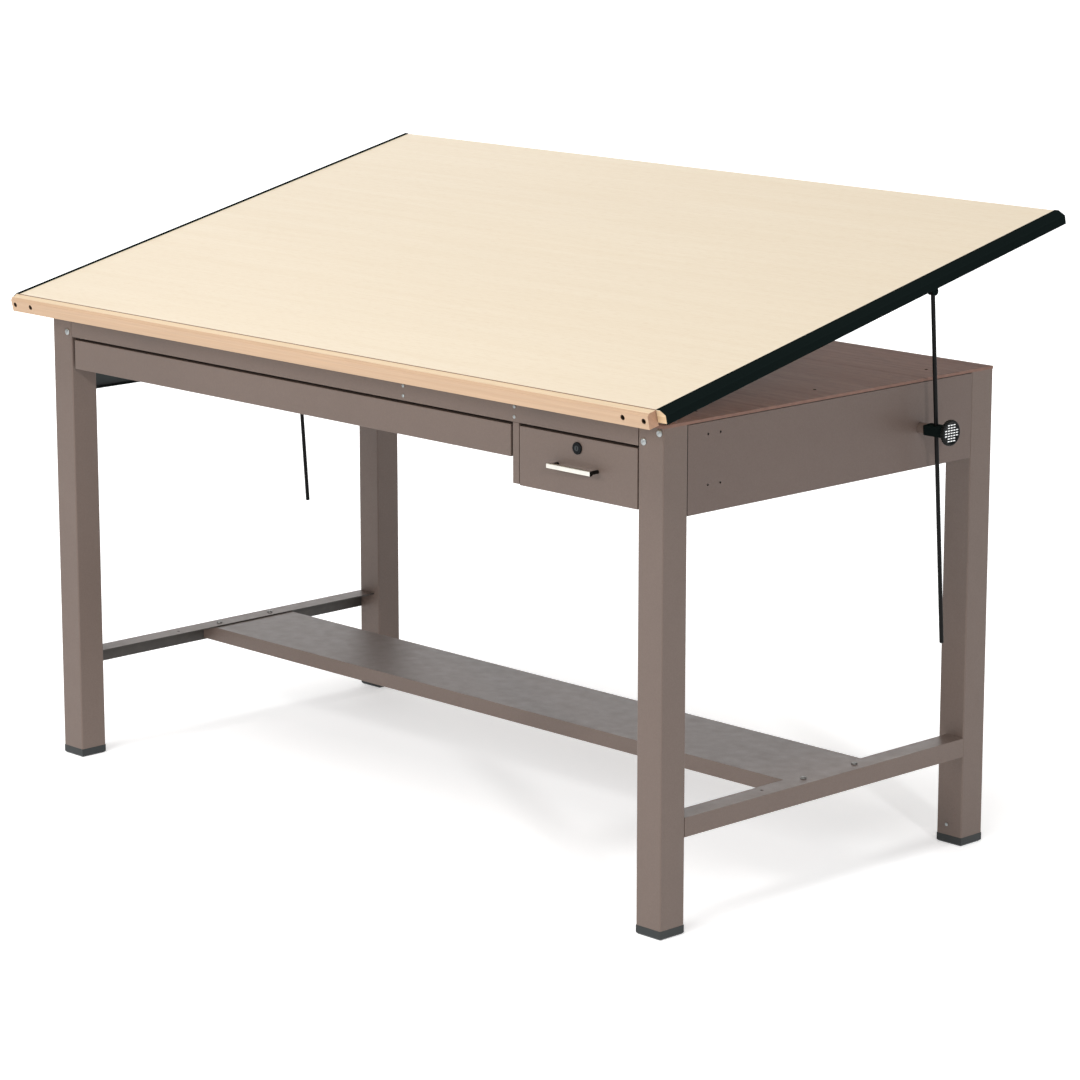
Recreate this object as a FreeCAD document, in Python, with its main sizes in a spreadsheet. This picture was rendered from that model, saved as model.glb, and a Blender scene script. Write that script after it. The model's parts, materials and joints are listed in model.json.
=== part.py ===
"""Four-post steel drafting table with a tilting board, two drawers and a foot shelf.

Millimetres, +Z up. X runs along the front of the table and +Y points to its rear.
The pieces are first laid out with Y = 0 at the fronts of the legs. At the end everything
slides along Y, so that the origin is on the floor under the middle of the whole table.
"""

import FreeCAD, Part
import Sketcher
import math
import os
from types import SimpleNamespace

V = FreeCAD.Vector
X_AXIS = V(1, 0, 0)
Y_AXIS = V(0, 1, 0)
Z_AXIS = V(0, 0, 1)
SIDES = (("left", -1), ("right", 1))

DIMENSIONS = {
    # base frame
    "base_width": 1712.0,
    "base_depth": 872.0,
    "leg_size": 60.0,
    "leg_wall": 2.0,
    "leg_corner": 3.0,
    "leg_top": 908.5,
    "foot_height": 17.0,
    "foot_neck": 22.0,
    "foot_bevel": 3.0,
    "plate": 1.5,
    "seam": 0.6,
    "panel_seam_front": 0.05,
    "panel_seam_rear": 0.9,
    "top_gap": 1.2,
    "panel_bottom": 749.0,
    "flange_wide": 22.0,
    "flange_narrow": 12.0,
    "rail_bottom": 872.0,
    "rail_flange_top": 30.0,
    "rail_flange_low": 15.0,
    "top_thick": 5.5,
    # lower rails and foot shelf
    "angle_top": 211.8,
    "angle_drop": 35.5,
    "angle_flange": 44.0,
    "angle_thick": 2.5,
    "shelf_front": 368.0,
    "shelf_depth": 210.0,
    "shelf_drop": 29.0,
    "shelf_plate": 1.6,
    "shelf_gap": 1.0,
    # drawers
    "divider_left": 485.0,
    "divider_width": 15.6,
    "divider_bottom": 761.5,
    "drawer_top": 866.6,
    "shallow_left": -786.0,
    "shallow_right": 479.5,
    "shallow_bottom": 808.5,
    "shallow_length": 660.0,
    "tool_left": 502.5,
    "tool_right": 794.0,
    "tool_bottom": 760.0,
    "tool_length": 440.0,
    "front_thick": 16.0,
    "tray_plate": 1.2,
    "tray_top": 862.0,
    "tray_lift": 2.5,
    "tool_tray_front": 836.0,
    "slide_height": 28.0,
    "slide_reach": 16.7,
    "slide_length": 810.0,
    "slide_bottom": 838.0,
    "slide_setback": 4.0,
    "runner_width": 15.0,
    "runner_setback": 8.0,
    # board
    "board_width": 1828.8,
    "board_depth": 1078.0,
    "board_front": -48.2,
    "board_thick": 22.7,
    "laminate_thick": 1.2,
    "board_underside": 936.9,
    "strip_depth": 22.0,
    "strip_height": 28.0,
    "strip_bevel": 4.5,
    "cleat_flange": 22.5,
    "cleat_flat": 9.0,
    "cleat_drop": 8.5,
    "cleat_return": 9.0,
    "cleat_web": 2.0,
    "cleat_sheet": 1.2,
    "tilt_angle": 12.92,
    # board hinges
    "hinge_back": -25.0,
    "hinge_height": 925.0,
    "hinge_width": 80.0,
    "hinge_spread": 560.0,
    "buffer_radius": 12.0,
    "buffer_back": 800.0,
    "buffer_spread": 500.0,
    "hinge_leaf": 3.0,
    "hinge_pin_radius": 3.0,
    "knuckle_radius": 6.0,
    # support rods and clamps
    "rod_side": 894.0,
    "rod_radius": 4.0,
    "rod_length": 658.0,
    "rod_pin_back": 667.6,
    "rod_pin_height": 925.1,
    "rod_pin_radius": 2.5,
    "eye_radius": 7.0,
    "clamp_back": 668.2,
    "clamp_height": 824.0,
    "block_inner": 873.0,
    "block_length": 41.0,
    "block_width": 24.0,
    "block_height": 19.0,
    "stud_radius": 6.0,
    "bush_radius": 10.0,
    "bush_step": 2.0,
    "knob_radius": 24.0,
    "knob_rim": 9.0,
    "knob_hub_radius": 11.0,
    "knob_hub": 7.6,
    "knob_screw_radius": 4.0,
    # pull and lock
    "pull_length": 108.0,
    "pull_bar": 9.0,
    "pull_thick": 7.0,
    "pull_reach": 24.0,
    "pull_post_radius": 3.6,
    "pull_height": 812.0,
    "lock_height": 846.9,
    "lock_bezel": 11.0,
    "lock_body": 8.0,
    "lock_plug": 5.0,
    "cam_length": 34.0,
    "cam_width": 12.0,
    "cam_thick": 3.0,
    # clearances
    "running_gap": 0.05,
    "free_gap": 0.3,
    "joint_gap": 0.5,
}

doc = FreeCAD.newDocument("drafting_table")
sheet = doc.addObject("Spreadsheet::Sheet", "dims")
for row, (alias, value) in enumerate(DIMENSIONS.items(), start=1):
    sheet.set(f"A{row}", alias)
    sheet.set(f"B{row}", str(value))
    sheet.setAlias(f"B{row}", alias)
doc.recompute()
d = SimpleNamespace(**{alias: float(sheet.get(alias)) for alias in DIMENSIONS})

half_width = d.base_width / 2
inner_width = d.base_width - 2 * d.leg_size
base_top_height = d.leg_top + d.top_thick
frame_top = d.leg_top - d.top_gap
board_half = d.board_width / 2
cleat_underside = d.board_underside - d.cleat_sheet
board_top = d.board_underside + d.board_thick
pull_middle = (d.tool_left + d.tool_right) / 2

FIRST_HALF = 30.0
DRILL_START = 1.0
WALL_DRILL = "8"
SHEET_DRILL = "10"
DEEP_DRILL = "60"
DRILL_GAP = 0.1
BOLT_GAP = 0.3
TINY = 0.01

nodes = {}


def at(x, y, z, axis=Z_AXIS, angle=0.0):
    """Placement at a point, turned by an angle about an axis through that point."""
    return FreeCAD.Placement(V(x, y, z), FreeCAD.Rotation(axis, angle))


def keep(label, item):
    """Makes an object a sub-part of the table."""
    item.Label = label
    nodes[label] = item
    return item


def block(sizes, corner):
    """Box whose three sizes are expressions of the dimensions sheet."""
    box = doc.addObject("Part::Box", "block")
    for side, size in zip(("Length", "Width", "Height"), sizes):
        box.setExpression(side, size)
    box.Placement = at(*corner)
    return box


def side_block(sign, sizes, inner_x, y, z):
    """Box on one side of the table: inner_x is its face nearer to the middle plane."""
    box = block(sizes, (0, y, z))
    doc.recompute()
    low_x = inner_x if sign > 0 else -inner_x - box.Length.Value
    box.Placement = at(low_x, y, z)
    return box


def drum(radius, length, start, direction):
    """Cylinder from a start point along a direction, with sheet-bound sizes."""
    item = doc.addObject("Part::Cylinder", "drum")
    item.setExpression("Radius", radius)
    item.setExpression("Height", length)
    item.Placement = FreeCAD.Placement(V(*start), FreeCAD.Rotation(Z_AXIS, V(*direction)))
    return item


def fuse(*items):
    joined = doc.addObject("Part::MultiFuse", "joined")
    joined.Shapes = list(items)
    joined.Refine = True
    return joined


def cut(base, *tools):
    result = doc.addObject("Part::Cut", "cut")
    result.Base = base
    result.Tool = tools[0] if len(tools) == 1 else fuse(*tools)
    result.Refine = True
    return result


def edge_numbers(shape, test):
    return [number for number, edge in enumerate(shape.Edges, start=1) if test(edge)]


def along(edge, axis):
    """True where a straight edge is parallel to an axis."""
    if not isinstance(edge.Curve, Part.Line):
        return False
    return abs(abs(edge.Curve.Direction.dot(axis)) - 1) < 1e-6


def dress(kind, base, size, test):
    """Part fillet or chamfer of the edges that pass a test."""
    doc.recompute()
    item = doc.addObject(f"Part::{kind}", kind.lower())
    item.Base = base
    item.Edges = [(number, size, size) for number in edge_numbers(base.Shape, test)]
    return item


def origin_plane(body, role):
    return next(f for f in body.Origin.OriginFeatures if f.Role == role)


def new_sketch(body, role):
    sketch = body.newObject("Sketcher::SketchObject", "profile")
    sketch.AttachmentSupport = (origin_plane(body, role), [""])
    sketch.MapMode = "FlatFace"
    return sketch


def closed_outline(sketch, points):
    """Closed chain of straight lines through the points."""
    count = len(points)
    for index in range(count):
        start = V(*points[index], 0)
        end = V(*points[(index + 1) % count], 0)
        sketch.addGeometry(Part.LineSegment(start, end), False)
    for index in range(count):
        following = (index + 1) % count
        sketch.addConstraint(Sketcher.Constraint("Coincident", index, 2, following, 1))


def centred_rectangle(body, width, depth):
    """Rectangle about the body's own origin, its sides bound to expressions."""
    sketch = new_sketch(body, "XY_Plane")
    low, high = -FIRST_HALF, FIRST_HALF
    closed_outline(sketch, [(low, low), (high, low), (high, high), (low, high)])
    for line in (0, 2):
        sketch.addConstraint(Sketcher.Constraint("Horizontal", line))
    for line in (1, 3):
        sketch.addConstraint(Sketcher.Constraint("Vertical", line))
    sketch.addConstraint(Sketcher.Constraint("Symmetric", 0, 1, 1, 2, -1, 1))
    for name, kind, line, size in (("across", "DistanceX", 0, width), ("back", "DistanceY", 1, depth)):
        number = sketch.addConstraint(Sketcher.Constraint(kind, line, 1, line, 2, 2 * FIRST_HALF))
        sketch.renameConstraint(number, name)
        sketch.setExpression(f"Constraints.{name}", size)
    return sketch


def turned_body(label, outline):
    """Body of revolution about its own Z axis from (radius, height) points."""
    body = doc.addObject("PartDesign::Body", label)
    sketch = new_sketch(body, "XZ_Plane")
    closed_outline(sketch, outline)
    turn = body.newObject("PartDesign::Revolution", "turn")
    turn.Profile = sketch
    turn.ReferenceAxis = (sketch, ["V_Axis"])
    turn.Angle = 360.0
    doc.recompute()
    return body


def bar_along_y(label, outline, length, y):
    """Straight bar along +Y from the (x, z) points of its section."""
    body = doc.addObject("PartDesign::Body", label)
    sketch = new_sketch(body, "XZ_Plane")
    closed_outline(sketch, outline)
    pad = body.newObject("PartDesign::Pad", "pad")
    pad.Profile = sketch
    pad.setExpression("Length", length)
    pad.Reversed = True
    body.Placement = at(0, y, 0)
    return body


def fastener_group(label, master, placements):
    """Identical fasteners: one sub-part that is a group of separate solids."""
    copies = [master.Shape.transformed(place.Matrix) for place in placements]
    group = doc.addObject("Part::Feature", label)
    group.Shape = Part.makeCompound(copies)
    return keep(label, group)


def screw_master(label, head_radius, head_height, shank_radius, shank_length, slot):
    """Pan-head screw, its head on +Z above the origin plane, with a driver slot."""
    shoulder = head_height * 0.45
    crown_radius = head_radius * 0.82
    crown_height = head_height * 0.8
    flat_radius = head_radius * 0.5
    slot_floor = head_height * 0.5
    outline = [
        (0, -shank_length),
        (shank_radius, -shank_length),
        (shank_radius, 0),
        (head_radius, 0),
        (head_radius, shoulder),
        (crown_radius, crown_height),
        (flat_radius, head_height),
        (0, head_height),
    ]
    body = turned_body(label, outline)
    groove = doc.addObject("Part::Box", "slot")
    groove.Length = 2 * head_radius
    groove.Width = slot
    groove.Height = head_height
    groove.Placement = at(-head_radius, -slot / 2, slot_floor)
    master = cut(body, groove)
    doc.recompute()
    return master


def facing(x, y, z, direction, spin=0.0):
    """Placement that turns a fastener's head towards a direction, slot spun by an angle."""
    turn = FreeCAD.Rotation(Z_AXIS, V(*direction))
    return FreeCAD.Placement(V(x, y, z), turn.multiply(FreeCAD.Rotation(Z_AXIS, spin)))


# ---------------------------------------------------------------- screw places

LEG_SCREW_SHANK = 2.5
SMALL_SCREW_SHANK = 1.6
BOLT_SHANK = 3.0
# one screw in the corner of each right leg, and one beside the rail in every leg
leg_screw_spots = [(846.5, 900.4)]
leg_screw_spots += [(side * 809.0, 880.9) for side in (-1, 1)]
rail_screw_spots = [(x, z) for x in (196.0, 489.0) for z in (899.5, 881.0)]
foot_screw_height = 37.0
foot_screw_side = 820.0
bolt_side = 831.0
bolt_rows = (394.0, 532.5)
spare_hole_row = 284.0
panel_hole_rows = (110.0, 141.0)
panel_hole_heights = (886.0, 797.0)
top_screw_side = 797.0
top_screw_rows = (141.0, 446.0, 751.0)


# ---------------------------------------------------------------- legs and feet

NECK_GAP = 0.2
PLUG_DRILL = "12"


def foot_screw_start(x, y, outward):
    """Start of the drilling for a leg's foot screw, just off the leg's inner face."""
    start_y = y - outward * (d.leg_size / 2 + DRILL_START)
    return math.copysign(foot_screw_side, x), start_y, foot_screw_height


def leg(label, x, y, outward):
    """Square tube with rounded corners, drilled for its screws."""
    body = doc.addObject("PartDesign::Body", "leg_tube")
    pad = body.newObject("PartDesign::Pad", "pad")
    pad.Profile = centred_rectangle(body, "dims.leg_size", "dims.leg_size")
    pad.setExpression("Length", "dims.leg_top - dims.foot_height")
    doc.recompute()
    corners = body.newObject("PartDesign::Fillet", "corners")
    corners.Base = (pad, [f"Edge{n}" for n in edge_numbers(pad.Shape, lambda e: along(e, Z_AXIS))])
    corners.setExpression("Radius", "dims.leg_corner")
    doc.recompute()
    bore = body.newObject("PartDesign::Pocket", "bore")
    inner = "dims.leg_size - 2 * dims.leg_wall"
    bore.Profile = centred_rectangle(body, inner, inner)
    bore.Type = 1
    bore.Reversed = True
    body.Placement = at(x, y, d.foot_height)
    half = d.leg_size / 2
    holes = []
    for spot_x, spot_z in leg_screw_spots:
        if abs(spot_x - x) < half:
            start = (spot_x, y + outward * (half + DRILL_START), spot_z)
            holes.append(drum(f"{LEG_SCREW_SHANK + DRILL_GAP}", WALL_DRILL, start, (0, -outward, 0)))
    foot_hole = foot_screw_start(x, y, outward)
    holes.append(drum(f"{SMALL_SCREW_SHANK + DRILL_GAP}", WALL_DRILL, foot_hole, (0, outward, 0)))
    return keep(label, cut(body, *holes))


def foot(label, x, y, outward):
    """Black cap with a bevelled sole and a plug that fills the tube's end."""
    half = d.leg_size / 2
    sole = block(("dims.leg_size", "dims.leg_size", "dims.foot_height"), (x - half, y - half, 0))

    def at_sole(edge):
        return max(abs(v.Point.z) for v in edge.Vertexes) < TINY

    bevelled = dress("Chamfer", sole, d.foot_bevel, at_sole)
    neck = f"dims.leg_size - 2 * dims.leg_wall - {2 * NECK_GAP}"
    neck_half = half - d.leg_wall - NECK_GAP
    plug = block((neck, neck, "dims.foot_neck"), (x - neck_half, y - neck_half, d.foot_height))
    hole = drum(f"{SMALL_SCREW_SHANK}", PLUG_DRILL, foot_screw_start(x, y, outward), (0, outward, 0))
    return keep(label, cut(fuse(bevelled, plug), hole))


leg_middle = half_width - d.leg_size / 2
for side, sign in SIDES:
    front_middle = d.leg_size / 2
    rear_middle = d.base_depth - d.leg_size / 2
    for end, y, outward in (("front", front_middle, -1), ("rear", rear_middle, 1)):
        leg(f"leg_{end}_{side}", sign * leg_middle, y, outward)
        foot(f"foot_{end}_{side}", sign * leg_middle, y, outward)


# ---------------------------------------------------------------- upper frame

PANEL_HOLE = "2.2"
PANEL_DRILL_IN = 5.0
TOP_SCREW_HOLE = "1.8"


def side_panel(side, sign):
    """Folded sheet between the legs, with a flange on each of its four sides."""
    length = "dims.base_depth - 2 * dims.leg_size - dims.panel_seam_front - dims.panel_seam_rear"
    height = "dims.leg_top - dims.top_gap - dims.panel_bottom"
    y = d.leg_size + d.panel_seam_front
    web = side_block(sign, ("dims.plate", length, height), half_width - d.plate, y, d.panel_bottom)
    top_inner = half_width - d.flange_wide
    top_size = ("dims.flange_wide", length, "dims.plate")
    top = side_block(sign, top_size, top_inner, y, frame_top - d.plate)
    low_inner = half_width - d.flange_narrow
    low = side_block(sign, ("dims.flange_narrow", length, "dims.plate"), low_inner, y, d.panel_bottom)
    end_size = ("dims.flange_narrow", "dims.plate", height)
    rear_end = d.base_depth - d.leg_size - d.panel_seam_rear - d.plate
    ends = [side_block(sign, end_size, low_inner, end_y, d.panel_bottom) for end_y in (y, rear_end)]
    start_x = sign * (half_width - PANEL_DRILL_IN)
    outwards = (sign, 0, 0)
    holes = [
        drum(PANEL_HOLE, SHEET_DRILL, (start_x, row, height_z), outwards)
        for row in panel_hole_rows
        for height_z in panel_hole_heights
    ]
    clamp_hole = (start_x, d.clamp_back, d.clamp_height)
    holes.append(drum("dims.bush_radius - dims.bush_step", SHEET_DRILL, clamp_hole, outwards))
    return keep(f"side_panel_{side}", cut(fuse(web, top, low, *ends), *holes))


for side, sign in SIDES:
    side_panel(side, sign)

rail_length = "dims.base_width - 2 * dims.leg_size - 2 * dims.seam"
rail_start = -inner_width / 2 + d.seam
front_face = block(
    (rail_length, "dims.plate", "dims.leg_top - dims.top_gap - dims.rail_bottom"),
    (rail_start, 0, d.rail_bottom),
)
front_upper = block(
    (rail_length, "dims.rail_flange_top", "dims.plate"), (rail_start, 0, frame_top - d.plate)
)
front_lower = block((rail_length, "dims.rail_flange_low", "dims.plate"), (rail_start, 0, d.rail_bottom))
rail_holes = [
    drum(f"{SMALL_SCREW_SHANK + DRILL_GAP}", WALL_DRILL, (x, -DRILL_START, z), (0, 1, 0))
    for x, z in rail_screw_spots
]
keep("front_rail", cut(fuse(front_face, front_upper, front_lower), *rail_holes))

rear_y = d.base_depth
rear_face = block(
    (rail_length, "dims.plate", "dims.leg_top - dims.top_gap - dims.panel_bottom"),
    (rail_start, rear_y - d.plate, d.panel_bottom),
)
rear_upper = block(
    (rail_length, "dims.flange_wide", "dims.plate"),
    (rail_start, rear_y - d.flange_wide, frame_top - d.plate),
)
rear_lower = block(
    (rail_length, "dims.flange_narrow", "dims.plate"),
    (rail_start, rear_y - d.flange_narrow, d.panel_bottom),
)
rear_end_size = ("dims.plate", "dims.flange_narrow", "dims.leg_top - dims.top_gap - dims.panel_bottom")
rear_ends = [
    block(rear_end_size, (end_x, rear_y - d.flange_narrow, d.panel_bottom))
    for end_x in (rail_start, -rail_start - d.plate)
]
keep("rear_panel", fuse(rear_face, rear_upper, rear_lower, *rear_ends))

top_sheet = block(
    ("dims.base_width", "dims.base_depth", "dims.top_thick"), (-half_width, 0, d.leg_top)
)
top_holes = [
    drum(TOP_SCREW_HOLE, SHEET_DRILL, (sign * top_screw_side, row, d.leg_top - DRILL_START), (0, 0, 1))
    for side, sign in SIDES
    for row in top_screw_rows
]
keep("base_top", cut(top_sheet, *top_holes))

divider_wall = "dims.base_depth - 2 * dims.plate - 2 * dims.joint_gap"
divider_height = "dims.rail_bottom - dims.divider_bottom - dims.joint_gap"
divider_face = block(
    ("dims.divider_width", "dims.plate", divider_height), (d.divider_left, 0, d.divider_bottom)
)
divider_walls = [
    block(("dims.plate", divider_wall, divider_height), (x, 0, d.divider_bottom))
    for x in (d.divider_left, d.divider_left + d.divider_width - d.plate)
]
keep("drawer_divider", fuse(divider_face, *divider_walls))


# ---------------------------------------------------------------- drawer slides


def slide(label, back_x, sign):
    """Channel that opens towards its drawer: its back is at back_x and it reaches along sign."""
    y = d.front_thick + d.slide_setback
    low_x = min(back_x, back_x + sign * d.slide_reach)
    web_x = back_x if sign > 0 else back_x - d.plate
    web = block(("dims.plate", "dims.slide_length", "dims.slide_height"), (web_x, y, d.slide_bottom))
    ledge = ("dims.slide_reach", "dims.slide_length", "dims.plate")
    low = block(ledge, (low_x, y, d.slide_bottom))
    high = block(ledge, (low_x, y, d.slide_bottom + d.slide_height - d.plate))
    return keep(label, fuse(web, low, high))


slide("shallow_slide_left", -inner_width / 2 + d.free_gap, 1)
slide("shallow_slide_right", d.divider_left - d.free_gap, -1)
slide("tool_slide_left", d.divider_left + d.divider_width + d.free_gap, 1)
slide("tool_slide_right", inner_width / 2 - d.free_gap, -1)


# ---------------------------------------------------------------- lower rails and shelf

bolt_hole = f"{BOLT_SHANK + BOLT_GAP}"
bolt_drill_in = 6.0


def lower_rail(side, sign):
    """Steel angle from leg to leg, its level flange pointing inwards."""
    length = "dims.base_depth - 2 * dims.leg_size"
    low = d.angle_top - d.angle_drop
    web = side_block(
        sign, ("dims.angle_thick", length, "dims.angle_drop"), half_width - d.angle_thick, d.leg_size, low
    )
    level = side_block(
        sign,
        ("dims.angle_flange", length, "dims.angle_thick"),
        half_width - d.angle_flange,
        d.leg_size,
        d.angle_top - d.angle_thick,
    )
    holes = [
        drum(bolt_hole, SHEET_DRILL, (sign * bolt_side, row, d.angle_top - bolt_drill_in), (0, 0, 1))
        for row in (spare_hole_row, *bolt_rows)
    ]
    return keep(f"lower_rail_{side}", cut(fuse(web, level), *holes))


for side, sign in SIDES:
    lower_rail(side, sign)

shelf_length = "dims.base_width - 2 * dims.angle_thick - 2 * dims.shelf_gap"
shelf_start = -half_width + d.angle_thick + d.shelf_gap
shelf_top = d.angle_top - d.angle_thick
shelf_plate = block(
    (shelf_length, "dims.shelf_depth", "dims.shelf_plate"),
    (shelf_start, d.shelf_front, shelf_top - d.shelf_plate),
)
shelf_aprons = [
    block((shelf_length, "dims.shelf_plate", "dims.shelf_drop"), (shelf_start, y, shelf_top - d.shelf_drop))
    for y in (d.shelf_front, d.shelf_front + d.shelf_depth - d.shelf_plate)
]
shelf_holes = [
    drum(bolt_hole, SHEET_DRILL, (sign * bolt_side, row, shelf_top - bolt_drill_in), (0, 0, 1))
    for side, sign in SIDES
    for row in bolt_rows
]
keep("foot_shelf", cut(fuse(shelf_plate, *shelf_aprons), *shelf_holes))


# ---------------------------------------------------------------- fasteners of the base

leg_screw = screw_master("leg_screw", 6.5, 2.6, LEG_SCREW_SHANK, 7.0, 1.4)
small_screw = screw_master("small_screw", 3.4, 1.6, SMALL_SCREW_SHANK, 4.0, 0.8)
leg_screw_places = []
for x, z in leg_screw_spots:
    leg_screw_places.append(facing(x, 0, z, (0, -1, 0), 35))
    leg_screw_places.append(facing(x, d.base_depth, z, (0, 1, 0), 70))
fastener_group("leg_screws", leg_screw, leg_screw_places)

small_screw_places = [facing(x, 0, z, (0, -1, 0), 20 + x / 5) for x, z in rail_screw_spots]
for side, sign in SIDES:
    foot_x = sign * foot_screw_side
    small_screw_places.append(facing(foot_x, d.leg_size, foot_screw_height, (0, 1, 0), 10))
    small_screw_places.append(
        facing(foot_x, d.base_depth - d.leg_size, foot_screw_height, (0, -1, 0), 55)
    )
fastener_group("small_screws", small_screw, small_screw_places)

top_screw = screw_master("top_screw", 3.0, 0.6, SMALL_SCREW_SHANK, 5.0, 0.7)
top_screw_places = [
    facing(sign * top_screw_side, row, base_top_height, (0, 0, 1), row / 7)
    for side, sign in SIDES
    for row in top_screw_rows
]
fastener_group("base_top_screws", top_screw, top_screw_places)

bolt_outline = [
    (0, -13.0),
    (BOLT_SHANK, -13.0),
    (BOLT_SHANK, -10.1),
    (5.5, -10.1),
    (5.5, -4.3),
    (BOLT_SHANK, -4.3),
    (BOLT_SHANK, 0),
    (6.0, 0),
    (5.6, 1.6),
    (4.2, 2.9),
    (2.0, 3.5),
    (0, 3.5),
]
shelf_bolt = turned_body("shelf_bolt", bolt_outline)
bolt_places = [
    at(sign * bolt_side, row, d.angle_top) for side, sign in SIDES for row in bolt_rows
]
fastener_group("shelf_bolts", shelf_bolt, bolt_places)


# ---------------------------------------------------------------- drawers


def drawer_front(label, side, top, holes=()):
    """Folded pan: a face with four returned edges, open at its back.

    The sides and the bottom are named by the prefix of their dimensions.
    """
    width = f"dims.{side}_right - dims.{side}_left"
    height = f"{top} - dims.{side}_bottom"
    left, bottom = DIMENSIONS[f"{side}_left"], DIMENSIONS[f"{side}_bottom"]
    shell = block((width, "dims.front_thick", height), (left, 0, bottom))
    hollow = block(
        (f"{width} - 2 * dims.plate", "dims.front_thick", f"{height} - 2 * dims.plate"),
        (left + d.plate, d.plate, bottom + d.plate),
    )
    return keep(label, cut(shell, hollow, *holes))


def drawer_tray(label, left, right, bottom, length, front_top):
    """Open tray welded from flat steel sheets, with a level runner out of each side."""
    start = d.front_thick + d.free_gap / 3
    wall_low = bottom + d.tray_plate
    runner_z = d.slide_bottom + d.plate + d.free_gap
    width = f"{right - left}"
    inner_left = left + d.tray_plate
    inner_size = f"{width} - 2 * dims.tray_plate"
    rear = start + DIMENSIONS[length] - d.tray_plate
    wall = ("dims.tray_plate", f"dims.{length}", f"dims.tray_top - {wall_low}")
    runner = ("dims.runner_width", f"dims.{length} - dims.runner_setback", "dims.tray_plate")
    tray = doc.addObject("Part::Compound", "tray_sheets")
    tray.Links = [
        block((width, f"dims.{length}", "dims.tray_plate"), (left, start, bottom)),
        block(wall, (left, start, wall_low)),
        block(wall, (right - d.tray_plate, start, wall_low)),
        block((inner_size, "dims.tray_plate", f"{front_top - wall_low}"), (inner_left, start, wall_low)),
        block((inner_size, "dims.tray_plate", f"dims.tray_top - {wall_low}"), (inner_left, rear, wall_low)),
        block(runner, (left - d.runner_width, start + d.runner_setback, runner_z)),
        block(runner, (right, start + d.runner_setback, runner_z)),
    ]
    return keep(label, tray)


RUNNER_SPACE = d.slide_reach + d.free_gap + 1.0
drawer_front("shallow_drawer_front", "shallow", "dims.drawer_top")
drawer_tray(
    "shallow_drawer_tray",
    -inner_width / 2 + RUNNER_SPACE,
    d.divider_left - RUNNER_SPACE,
    d.shallow_bottom + d.tray_lift,
    "shallow_length",
    d.tray_top,
)

lock_hole = drum(
    "dims.lock_body + dims.running_gap", SHEET_DRILL, (pull_middle, -DRILL_START, d.lock_height), Y_AXIS
)
drawer_front("tool_drawer_front", "tool", "dims.drawer_top", holes=(lock_hole,))
drawer_tray(
    "tool_drawer_tray",
    d.divider_left + d.divider_width + RUNNER_SPACE,
    inner_width / 2 - RUNNER_SPACE,
    d.tool_bottom + d.tray_lift,
    "tool_length",
    d.tool_tray_front,
)

PULL_ROUND = 1.6
POST_INSET = 1.0
bar = block(
    ("dims.pull_length", "dims.pull_thick", "dims.pull_bar"),
    (pull_middle - d.pull_length / 2, -d.pull_reach, d.pull_height - d.pull_bar / 2),
)
rounded_bar = dress("Fillet", bar, PULL_ROUND, lambda edge: along(edge, X_AXIS))
posts = [
    drum(
        "dims.pull_post_radius",
        "dims.pull_reach - dims.pull_thick / 2",
        (pull_middle + sign * (d.pull_length / 2 - d.pull_post_radius - POST_INSET), 0, d.pull_height),
        (0, -1, 0),
    )
    for side, sign in SIDES
]
keep("tool_drawer_pull", fuse(rounded_bar, *posts))

LOCK_FACE = 3.0
LOCK_BACK = 19.5
PLUG_PROUD = 0.2
PLUG_SPARE = 0.1
BEZEL_CHAMFER = 0.8
KEY_SLOT_WIDTH = 1.4
KEY_SLOT_HEIGHT = 6.4
CAM_BEHIND = 0.3
CAM_ROUND = 4.0
lock_bezel = drum("dims.lock_bezel", f"{LOCK_FACE}", (pull_middle, 0, d.lock_height), (0, -1, 0))
soft_bezel = dress(
    "Chamfer", lock_bezel, BEZEL_CHAMFER, lambda edge: abs(edge.BoundBox.YMax + LOCK_FACE) < TINY
)
lock_body = drum("dims.lock_body", f"{LOCK_BACK}", (pull_middle, 0, d.lock_height), Y_AXIS)
bore_start = (pull_middle, -2 * LOCK_FACE, d.lock_height)
lock_bore = drum("dims.lock_plug + dims.running_gap", DEEP_DRILL, bore_start, Y_AXIS)
keep("lock_barrel", cut(fuse(soft_bezel, lock_body), lock_bore))

plug_front = -LOCK_FACE - PLUG_PROUD
plug_length = f"{LOCK_BACK - plug_front + PLUG_SPARE}"
plug = drum("dims.lock_plug", plug_length, (pull_middle, plug_front, d.lock_height), Y_AXIS)
key_slot = block(
    (f"{KEY_SLOT_WIDTH}", f"{3 * LOCK_FACE}", f"{KEY_SLOT_HEIGHT}"),
    (pull_middle - KEY_SLOT_WIDTH / 2, plug_front - 1, d.lock_height - KEY_SLOT_HEIGHT / 2),
)
keep("lock_plug", cut(plug, key_slot))

cam_plate = block(
    ("dims.cam_length", "dims.cam_thick", "dims.cam_width"),
    (pull_middle - d.cam_width / 2, LOCK_BACK + CAM_BEHIND, d.lock_height - d.cam_width / 2),
)
keep("lock_cam", dress("Fillet", cam_plate, CAM_ROUND, lambda edge: along(edge, Y_AXIS)))


# ---------------------------------------------------------------- board

hinge_line = V(0, d.hinge_back, d.hinge_height)
board_tilt = FreeCAD.Placement(V(), FreeCAD.Rotation(X_AXIS, d.tilt_angle), hinge_line)


def tilted(label, item):
    """Board piece: built with the board level, then tipped about the hinge line."""
    doc.recompute()
    item.Placement = board_tilt.multiply(item.Placement)
    return keep(label, item)


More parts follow.
